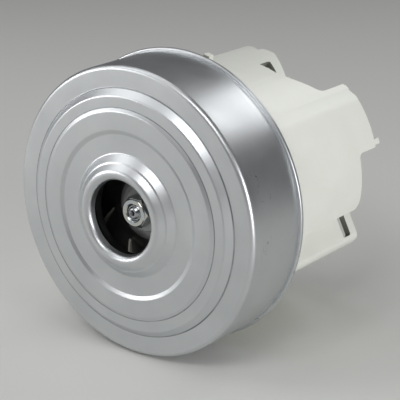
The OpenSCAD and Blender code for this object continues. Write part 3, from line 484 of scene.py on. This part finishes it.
edge = add(tree, "ShaderNodeBump", {"Height": joint.outputs["Result"], "Strength": 0.4,
                                    "Distance": 0.05 * MM}, invert=True)
tree.links.new(edge.outputs["Normal"], shader.inputs["Normal"])

finishes["enamelled_copper"] = mottled("enamelled_copper_wire", "9a4a22", "c0743c", 7, (0.24, 0.36), 0.5,
                                       0.006, Metallic=1.0, Coat_Weight=0.6, Coat_Roughness=0.18)[0]

made, tree, shader, place, tone = mottled("turned_bare_copper", "ad6038", "cf8a62", 4, (0.2, 0.32), 0.3,
                                          0.004, Metallic=1.0)
finishes["bare_copper"] = made
# Turning marks are 0.1 mm apart; they are drawn at 0.3 mm.
turning = add(tree, "ShaderNodeTexNoise", {"Vector": round_the_axis(tree, place), "Scale": per_mm(0.3),
                                           "Detail": 2.0})
along = add(tree, "ShaderNodeSeparateXYZ", {"Vector": place})
from_track = add(tree, "ShaderNodeMath", {0: along.outputs["Y"], 1: brush_at * MM}, operation="SUBTRACT")
track_side = add(tree, "ShaderNodeMath", {0: from_track.outputs["Value"]}, operation="ABSOLUTE")
track = add(tree, "ShaderNodeMapRange", {"Value": track_side.outputs["Value"], "From Min": track_half * MM,
                                         "From Max": track_fades * MM, "To Min": 0.7, "To Max": 0.0})
worn = add(tree, "ShaderNodeMix", {"Factor": track.outputs["Result"], "A": tone, "B": linear("5b3524")},
           data_type="RGBA")
tree.links.new(worn.outputs["Result"], shader.inputs["Base Color"])
turned = add(tree, "ShaderNodeBump", {"Height": turning.outputs["Fac"], "Strength": 0.35,
                                      "Distance": 0.02 * MM})
tree.links.new(turned.outputs["Normal"], shader.inputs["Normal"])

made, tree, shader, place, tone = mottled("moulded_wood_filled_phenolic", "241b16", "372a22", 10,
                                          (0.36, 0.5), 0.6, 0.015, IOR=1.6)
finishes["phenolic_moulding"] = made
floury = speckled(tree, place, tone, 0.7, 3.0, (0.6, 0.72), 0.5, "5a4636")
tree.links.new(floury, shader.inputs["Base Color"])

finishes["insulator_plastic"] = mottled("moulded_brown_polyester", "8d6040", "a3744f", 14, (0.4, 0.54), 0.8,
                                        0.015, IOR=1.55)[0]
finishes["spring_steel"] = mottled("oil_tempered_spring_wire", "55585c", "7a7d81", 3, (0.24, 0.36), 0.2,
                                   0.004, Metallic=1.0)[0]

made, tree, shader, place, tone = mottled("stamped_brass_sheet", "b08a40", "d4b468", 9, (0.2, 0.34), 0.3,
                                          0.006, stretch=(1, 10, 1), Metallic=1.0)
finishes["sheet_brass"] = made
tarnished = speckled(tree, place, tone, 2.4, 4.0, (0.55, 0.72), 0.55, "7a5a2c")
tree.links.new(tarnished, shader.inputs["Base Color"])

made, tree, shader, place, tone = mottled("pressed_electrographite", "1d1e20", "2c2d2f", 4, (0.46, 0.6),
                                          0.25, 0.02, Metallic=0.3)
finishes["carbon"] = made
# Painted glints: tiny bright specks laid into the brushes' base colour.
painted_glints = speckled(tree, place, tone, 0.3, 1.0, (0.66, 0.72), 1.0, "6c6e71")
tree.links.new(painted_glints, shader.inputs["Base Color"])
print("electric finishes ready")

# %% [markdown]
# ## Dress the solids
# Each solid carries the name of its material slot, so one loop gives every solid its finish. The fan's
# blades and shroud share the slot of its back plate and then get a finish of their own. A solid whose shape
# is already right keeps its mesh. The pieces below stand in for those that need a finer shape.

# %% Dress the solids
for name, node in nodes.items():
    dress(node, finishes[slot_of[name]])
dress(nodes["impeller_blades"], blade_aluminium)
dress(nodes["impeller_shroud"], shroud_aluminium)
print("dressed", len(nodes), "solids with", len(finishes), "finishes")

# %% [markdown]
# ## Tools for shapes
# Four small tools make nearly every piece. A path with rounded corners is the section of a pressed or
# moulded part. A hoop joins such sections round the axis, which is what a lathe or a drawing die does. A
# sweep lays round wire along a path. An eased copy of a solid gets the small radius that any real edge
# has, because a perfectly sharp edge never catches the light.

# %% Tools for shapes


def rounded(corners, steps=10):
    """A path through corners of radius, place along the axis and fillet, all in millimetres."""
    path = [corners[0][:2]]
    for before, corner, after in zip(corners, corners[1:], corners[2:]):
        here, fillet = Vector(corner[:2]), corner[2]
        if not fillet:
            path.append(corner[:2])
            continue
        back = (Vector(before[:2]) - here).normalized()
        on = (Vector(after[:2]) - here).normalized()
        half = back.angle(on) / 2
        middle = here + (back + on).normalized() * fillet / math.sin(half)
        start = here + back * fillet / math.tan(half) - middle
        end = here + on * fillet / math.tan(half) - middle
        first = math.atan2(start.y, start.x)
        turn = (math.atan2(end.y, end.x) - first + math.pi) % math.tau - math.pi
        angles = [first + turn * i / steps for i in range(steps + 1)]
        path += [(middle.x + fillet * math.cos(a), middle.y + fillet * math.sin(a)) for a in angles]
    return path + [corners[-1][:2]]


def settle(name, shape, sharp=35):
    """Turns a built shape into a mesh with outward faces, smooth but for edges sharper than some degrees."""
    bmesh.ops.recalc_face_normals(shape, faces=shape.faces)
    mesh = bpy.data.meshes.new(name)
    shape.to_mesh(mesh)
    shape.free()
    mesh.shade_smooth()
    mesh.set_sharp_from_angle(angle=math.radians(sharp))
    return mesh


def hoop(name, outline_at, turns):
    """Joins closed outlines of radius and place along the axis, one per step round the axis, into a mesh."""
    shape = bmesh.new()
    rings = []
    for i in range(turns):
        a = math.tau * i / turns
        rings.append([shape.verts.new((r * MM * math.cos(a), y * MM, r * MM * math.sin(a)))
                      for r, y in outline_at(a)])
    for here, there in zip(rings, rings[1:] + rings[:1]):
        for k in range(len(here)):
            shape.faces.new((here[k - 1], here[k], there[k], there[k - 1]))
    return settle(name, shape)


def sweep(shape, path, diameter, sides=8):
    """Adds a round wire along a path of points in millimetres to a shape, closed at both ends."""
    points = [Vector(p) * MM for p in path]
    rings = []
    side = None
    for i, here in enumerate(points):
        along = (points[min(i + 1, len(points) - 1)] - points[max(i - 1, 0)]).normalized()
        side = along.orthogonal() if side is None else side - along * side.dot(along)
        side.normalize()
        up = along.cross(side)
        turns = [math.tau * k / sides for k in range(sides)]
        rings.append([shape.verts.new(here + (side * math.cos(t) + up * math.sin(t)) * diameter * MM / 2)
                      for t in turns])
    for here, there in zip(rings, rings[1:]):
        for k in range(sides):
            shape.faces.new((here[k - 1], here[k], there[k], there[k - 1]))
    shape.faces.new(rings[0])
    shape.faces.new(rings[-1])


def stand_in(name, mesh, *replaced):
    """Makes a piece of a mesh that takes the body and finish of the solids it replaces, and hides them."""
    piece = bpy.data.objects.new(name, mesh)
    bpy.context.scene.collection.objects.link(piece)
    dress(piece, finishes[slot_of[replaced[0]]])
    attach(piece, body_of[replaced[0]])
    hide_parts(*replaced)
    print(name, "faces:", len(mesh.polygons))
    return piece


def ease(node, width, sharp=32, reshape=None):
    """A copy of a solid whose edges have a small radius in mm; reshape may move its points first."""
    weld, flat_within = 0.002, 0.6
    shape = bmesh.new()
    shape.from_mesh(nodes[node].data)
    bmesh.ops.remove_doubles(shape, verts=shape.verts, dist=weld * MM)
    if reshape:
        reshape(shape)
    bmesh.ops.dissolve_limit(shape, angle_limit=math.radians(flat_within), verts=shape.verts,
                             edges=shape.edges)
    piece = stand_in("eased_" + node, settle("eased_" + node, shape), node)
    edges = piece.modifiers.new("eased_edges", "BEVEL")
    edges.width = width * MM
    edges.segments = 2
    edges.limit_method = "ANGLE"
    edges.angle_limit = math.radians(sharp)
    edges.harden_normals = True
    return piece


print("shape tools ready")

# %% [markdown]
# ## Drawn cover
# The cover is one piece of sheet, drawn into a cup. Its face steps up in two rings, sinks into a shallow
# well and rises again into the inlet collar, where a fine crease parts the slope from the rolled bead. A
# drawn part has no sharp corner anywhere, so the section is a path of fillets, set off to its inside by
# the sheet's thickness.

# %% Drawn cover
sheet_t = 1.0
sheet = rounded([(67, 31.2, 0), (67, -2.2, 2.2), (57.3, -2.2, 1.0), (54, -5.1, 1.6), (48.9, -5.1, 0.8),
                 (47.2, -6, 1.6), (39, -6, 1.6), (37.1, -5.2, 1.0), (28.4, -5.2, 1.4), (25.3, -7.9, 0.8),
                 (24.5, -8.25, 0.4), (21.6, -10.7, 3.4), (17.6, -11.0, 2.6), (17.3, -6.6, 0)])
inside = []
for i, (r, y) in enumerate(sheet):
    along = Vector(sheet[min(i + 1, len(sheet) - 1)]) - Vector(sheet[max(i - 1, 0)])
    along.normalize()
    inside.append((r + along.y * sheet_t, y - along.x * sheet_t))
rolled_lip = rounded([(66, 33.4, 0), (68.5, 33.4, 1.0), (68.5, 31.2, 0.8), (67, 31.2, 0)])
section = rolled_lip + sheet[1:] + inside[::-1]
stand_in("drawn_cover", hoop("drawn_cover", lambda a: section, turns=240), "fan_cover")

# %% [markdown]
# ## Fan nut
# A pressed nut has a round bearing face, and behind it a chamfer: where the cone of the chamfer meets the
# six flats it leaves curved arcs. The hexagon's radius is known at every angle, so one cone cuts each
# section of the hoop.

# %% Fan nut
flats, nut_front, nut_back, bore = 6.5, -0.5, 6.0, 4.02
face_r, face_step, face_round, chamfer_slope, mouth = 6.3, 0.5, 0.25, math.tan(math.radians(30)), 0.4


def nut_section(a):
    """The nut's section at an angle round the axis."""
    corner = flats / math.cos((a % (math.pi / 3)) - math.pi / 6)
    drop = (corner - face_r) * chamfer_slope
    return [(bore, nut_front + mouth), (bore + mouth, nut_front), (face_r - face_round, nut_front),
            (face_r, nut_front + face_round), (face_r, nut_front + face_step),
            (corner, nut_front + face_step + drop), (corner, nut_back - drop), (face_r, nut_back),
            (bore + mouth, nut_back), (bore, nut_back - mouth)]


stand_in("chamfered_fan_nut", hoop("chamfered_fan_nut", nut_section, turns=144), "fan_nut")

# %% [markdown]
# ## Rotor shaft
# Only the shaft's front end shows, in the nut. It has a rounded point, then a small step and a chamfer
# that lets the nut start. A lathe centre is drilled into the point: a cone for the lathe's tip, and a
# deeper hole that stays dark.

# %% Rotor shaft
pinhole, drill_r, drill_to, centre_r, cone_to = 0.02, 0.75, 3.0, 1.3, -0.15
point_r, point_at, step_at, journal, shoulder = 2.0, -1.1, 0.1, 4.0, 5.0
shoulder_from, shoulder_to, shaft_end = 29, 83, 109.8
shaft = rounded([(pinhole, drill_to, 0), (drill_r, drill_to - 0.4, 0), (drill_r, cone_to, 0),
                 (centre_r, point_at, 0.1), (point_r, point_at, 0.9), (3.0, cone_to, 0.3),
                 (3.05, step_at, 0), (3.35, step_at, 0), (journal, step_at + 0.65, 0),
                 (journal, shoulder_from, 0), (shoulder, shoulder_from, 0.3), (shoulder, shoulder_to, 0.3),
                 (journal, shoulder_to, 0), (journal, shaft_end, 0.5), (pinhole, shaft_end, 0)], steps=6)
stand_in("ground_rotor_shaft", hoop("ground_rotor_shaft", lambda a: shaft, turns=96), "rotor_shaft")

# %% [markdown]
# ## Clamp washer
# The washer is turned, so both its rims have a small radius and its bore a light chamfer.

# %% Clamp washer
washer_bore, washer_r, washer_front, washer_mid, washer_back = 4.02, 10.5, 6.0, 6.75, 7.5
washer = rounded([(washer_bore, washer_mid, 0), (washer_bore, washer_front, 0.3),
                  (washer_r, washer_front, 0.4), (washer_r, washer_back, 0.4),
                  (washer_bore, washer_back, 0.3), (washer_bore, washer_mid + 0.01, 0)], steps=5)
stand_in("turned_clamp_washer", hoop("turned_clamp_washer", lambda a: washer, turns=96), "clamp_washer")

# %% [markdown]
# ## Moulded edges
# The housing, the brush holders and the bobbins are moulded, so their edges follow the tool's small radii.
# The stamped tubes and caps have the slight roll-over of the punch. Above each side pad of the housing the
# mould has no step but a fold, and from there the skin sinks to the round barrel in a soft hollow. Its
# height follows the fourth power of the angle that is left, which is steep at the fold and leaves no
# crease at the barrel. Faces that look inward, or across a narrow gap, are marked for painted shade with
# brush dust.

# %% Moulded and stamped edges
barrel_r, barrel_skin, pad_r, flange_r, fold_at, hollow_to = 55.8, 55.7, 58.0, 60.0, 40.0, 54.0
dust_and_shade_from, narrow_gap, looks_in, lift = 48.0, 12.0, -0.3, 0.05


def hollow_above_pads(shape):
    """Lets the outer skin sink from each side pad's fold to the round barrel in one soft hollow."""
    for v in shape.verts:
        r = math.hypot(v.co.x, v.co.z) / MM
        angle = math.degrees(math.atan2(v.co.z, v.co.x)) % 180
        if barrel_skin < r < flange_r and fold_at - 0.1 < angle < hollow_to:
            share = min((hollow_to - angle) / (hollow_to - fold_at), 1.0)
            scale = (barrel_r + (pad_r - barrel_r) * share ** 4) / r
            v.co.x *= scale
            v.co.z *= scale
    bmesh.ops.remove_doubles(shape, verts=shape.verts, dist=0.1 * MM)


def mark_dust_and_shade(piece):
    """Marks the faces of the barrel's wall that get painted shade with brush dust: those inside, or across a
    narrow gap.
    """
    mesh = piece.data
    walls = BVHTree.FromPolygons([v.co for v in mesh.vertices], [f.vertices for f in mesh.polygons])
    dust_and_shade = mesh.attributes.new("brush_dust", "FLOAT", "FACE")
    for face in mesh.polygons:
        out = Vector((face.center.x, 0, face.center.z))
        inward = face.normal.dot(out.normalized()) < looks_in
        across = walls.ray_cast(face.center + face.normal * lift * MM, face.normal, narrow_gap * MM)[0]
        shade_and_dust_here = out.length > dust_and_shade_from * MM and (inward or across is not None)
        dust_and_shade.data[face.index].value = float(shade_and_dust_here)
    print("dusted faces:", sum(d.value > 0 for d in dust_and_shade.data), "of", len(dust_and_shade.data))


housing = ease("motor_housing", 0.5, reshape=hollow_above_pads)
mark_dust_and_shade(housing)
even = housing.modifiers.new("flats_stay_flat", "WEIGHTED_NORMAL")
even.keep_sharp = True
even.weight = 85
for side in ("upper", "lower"):
    ease(side + "_brush_holder", 0.35)
    ease(side + "_brush_tube", 0.1)
    ease(side + "_brush_cap", 0.15)
    ease(side + "_brush", 0.15)
ease("pole_insulators", 0.2)

# %% [markdown]
# ## Field coils
# Each pole carries a coil of enamelled wire, wound on its bobbin in layers that go to and fro. The loops
# are rounded squares, which the formula of a superellipse gives. A real coil has some hundred turns of 0.5
# mm wire; forty turns of 0.95 mm fill the same room and still read as wire.

# %% Field coils
wire_d, loops, layers, squareness, per_loop = 0.95, 10, 4, 5, 48
coil_from, coil_to, first_half, layer_step, stack_mid = 30.5, 21.0, 18.1, 0.98, 60.0


def squared(value):
    """One coordinate of the rounded square, from a cosine or a sine."""
    return math.copysign(abs(value) ** (2 / squareness), value)


for side, sign in (("right", 1), ("left", -1)):
    path = []
    for i in range(loops * layers * per_loop + 1):
        turn = i / per_loop
        layer = min(int(turn / loops), layers - 1)
        share = turn / loops - layer
        share = share if layer % 2 == 0 else 1 - share
        half = first_half + layer * layer_step
        path.append((sign * (coil_from + (coil_to - coil_from) * share),
                     stack_mid + half * squared(math.sin(math.tau * turn)),
                     half * squared(math.cos(math.tau * turn))))
    shape = bmesh.new()
    sweep(shape, path, wire_d, 6)
    stand_in("wound_field_coil_" + side, settle("wound_field_coil_" + side, shape), "field_coil_" + side)

# %% [markdown]
# ## Armature winding
# Twelve coils of wire lie in the slots of the armature, each from one slot to the fifth beyond it, and
# pass over one another at both ends of the stack. Each coil is one path of five turns, which leaves its
# slot straight and then bends across. The coils wound later lie further out, so every coil's bow is a
# little higher than the last. From the coils, a lead runs to each copper bar.

# %% Armature winding
slots, pitch, turns_per_coil, slot_at = 12, 5, 5, 15.0
stack_from, stack_to, winding_d, bow_steps, clear = 45.0, 75.0, 0.9, 18, 0.3
first_rise, rise_more, first_dip, dip_more, linger, nest, spread = 1.4, 5.2, 4.0, 2.6, 0.75, 0.75, 0.12
shape = bmesh.new()
for coil in range(slots):
    first = math.tau * coil / slots
    span = math.tau * pitch / slots
    rise = first_rise + rise_more * coil / (slots - 1)
    dip = first_dip + dip_more * (coil % 3) / 2
    path = []
    for turn in range(turns_per_coil):
        step_out = winding_d * (turn - (turns_per_coil - 1) / 2)
        for end, way in ((stack_to, 1), (stack_from, -1)):
            for i in range(bow_steps + 1):
                share = i / bow_steps if way > 0 else 1 - i / bow_steps
                bow = math.sin(math.pi * share)
                r = slot_at + nest * step_out - dip * bow ** 1.5
                a = first + span * (share - linger * math.sin(math.tau * share) / math.tau)
                y = end + way * (clear + (rise + spread * step_out) * bow ** 0.5)
                path.append((r * math.cos(a), y, r * math.sin(a)))
    sweep(shape, path, winding_d, 6)
bars, lead_d = 24, 0.8
lead = [(14.2, 79.5), (14.6, 81.6), (14.5, 83.8), (13.9, 85.4), (13.15, 86.6)]
for bar in range(bars):
    a = math.tau * (bar + 0.5) / bars
    sweep(shape, [(r * math.cos(a), y, r * math.sin(a)) for r, y in lead], lead_d, 6)
stand_in("wound_armature", settle("wound_armature", shape), "armature_winding")

# %% [markdown]
# ## Brush springs
# A helical spring presses each brush onto the commutator. Its end turns are closed, so that it stands
# square on the brush and under the cap.

# %% Brush springs
spring_r, spring_d, curls, closed, per_curl = 2.55, 0.8, 9, 1.25, 16
brush_top, cap_under, cap_seat, touching, spring_keep = 29.95, 42.6, 43, 1.04, 0.6
for side, sign in (("upper", 1), ("lower", -1)):
    total = curls + 2 * closed
    rest_pitch = (cap_under - brush_top - 2 * closed * spring_d * touching) / curls
    path = []
    for i in range(int(total * per_curl) + 1):
        turn = i / per_curl
        dead = min(turn, closed) + max(turn - curls - closed, 0)
        z = brush_top + dead * spring_d * touching + min(max(turn - closed, 0), curls) * rest_pitch
        a = math.tau * turn
        path.append((spring_r * math.cos(a), brush_at + spring_r * math.sin(a), sign * z))
    shape = bmesh.new()
    sweep(shape, path, spring_d, 8)
    spring = stand_in("coiled_" + side + "_spring", settle("coiled_" + side + "_spring", shape),
                      side + "_brush_spring")
    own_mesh(spring)

# %% [markdown]
# ## Mains tabs
# Two brass tabs stand out of the rear bridge for push-on terminals. Such a tab is stamped: its tip is
# chamfered on both sides so that the terminal slides on, and a small hole takes the terminal's dimple. The
# flat with its hole is divided into triangles once, for both sides of both tabs.

# %% Mains tabs
tab_w, tab_t, tab_at, tab_from, tab_to, tab_angles = 6.3, 0.8, 30.0, 101.0, 115.5, (120, 300)
tip, hole_r, hole_at, hole_steps = 1.2, 0.85, 3.4, 24
outline = [(-tab_w / 2, tab_from), (tab_w / 2, tab_from), (tab_w / 2, tab_to - tip),
           (tab_w / 2 - tip, tab_to), (tip - tab_w / 2, tab_to), (-tab_w / 2, tab_to - tip)]
hole_turns = [math.tau * k / hole_steps for k in range(hole_steps)]
hole = [(hole_r * math.cos(t), tab_to - hole_at + hole_r * math.sin(t)) for t in hole_turns]
flat = tessellate_polygon([[Vector((u, y, 0)) for u, y in ring] for ring in (outline, hole)])
shape = bmesh.new()
for angle in map(math.radians, tab_angles):
    out = Vector((math.cos(angle), 0, math.sin(angle)))
    across = Vector((-math.sin(angle), 0, math.cos(angle)))
    sides = []
    for r in (tab_at - tab_t / 2, tab_at + tab_t / 2):
        sides.append([shape.verts.new((out * r + across * u + Vector((0, y, 0))) * MM)
                      for u, y in outline + hole])
        for corners in flat:
            shape.faces.new([sides[-1][k] for k in corners])
    low, high = sides
    for first, count in ((0, len(outline)), (len(outline), len(hole))):
        for k in range(count):
            here, there = first + k, first + (k + 1) % count
            shape.faces.new((low[here], low[there], high[there], high[here]))
stand_in("stamped_mains_tabs", settle("stamped_mains_tabs", shape), "mains_tabs")

# %% [markdown]
# ## Holder screws
# Four pan head screws hold the brush holders to the bridge. The head is a low dome with a cross recess.
# The recess is cut by a pair of crossed tapered bars, which are thrown away afterwards.

# %% Holder screws
screw_r, head_r, head_h, head_side, thread_from, seat, dome_steps = 1.5, 2.8, 2.0, 0.5, 94.75, 107.0, 8
long_half, thin_half, recess_from, recess_to = 1.6, 0.28, 0.3, -1.1
screw_places = [(x, z) for x in (-6.2, 6.2) for z in (-32.0, 32.0)]
dome = [(pinhole, thread_from), (screw_r - 0.3, thread_from), (screw_r, thread_from + 0.4), (screw_r, seat),
        (head_r, seat)]
for k in range(dome_steps):
    t = math.pi / 2 * k / dome_steps
    dome.append((head_r * math.cos(t), seat + head_side + (head_h - head_side) * math.sin(t)))
dome.append((pinhole, seat + head_h))
mesh = hoop("pan_head_screw", lambda a: dome, turns=40)
shape = bmesh.new()
for x, z in screw_places:
    before = len(shape.verts)
    shape.from_mesh(mesh)
    shape.verts.ensure_lookup_table()
    bmesh.ops.translate(shape, vec=(x * MM, 0, z * MM), verts=shape.verts[before:])
screws = stand_in("cross_head_screws", settle("cross_head_screws", shape), "holder_screws")
box_faces = ((0, 1, 2, 3), (7, 6, 5, 4), (0, 4, 5, 1), (1, 5, 6, 2), (2, 6, 7, 3), (3, 7, 4, 0))
shape = bmesh.new()
for x, z in screw_places:
    for wide, deep in ((long_half, thin_half), (thin_half, long_half)):
        corners = []
        for y, narrower, thinner in ((recess_from, 1, 1), (recess_to, 0.6, 0.8)):
            for sx, sz in ((-1, -1), (1, -1), (1, 1), (-1, 1)):
                corner = (x + sx * wide * narrower, seat + head_h + y, z + sz * deep * thinner)
                corners.append(shape.verts.new(Vector(corner) * MM))
        for face in box_faces:
            shape.faces.new([corners[k] for k in face])
cutter = bpy.data.objects.new("recess_cutter", settle("recess_cutter", shape))
bpy.context.scene.collection.objects.link(cutter)
cut = screws.modifiers.new("recess", "BOOLEAN")
cut.operation = "DIFFERENCE"
cut.solver = "EXACT"
cut.use_self = True
cut.object = cutter
cut_mesh = bpy.data.meshes.new_from_object(screws.evaluated_get(bpy.context.evaluated_depsgraph_get()))
screws.modifiers.clear()
screws.data = cut_mesh
bpy.data.objects.remove(cutter)
print("screws with recess, faces:", len(cut_mesh.polygons))
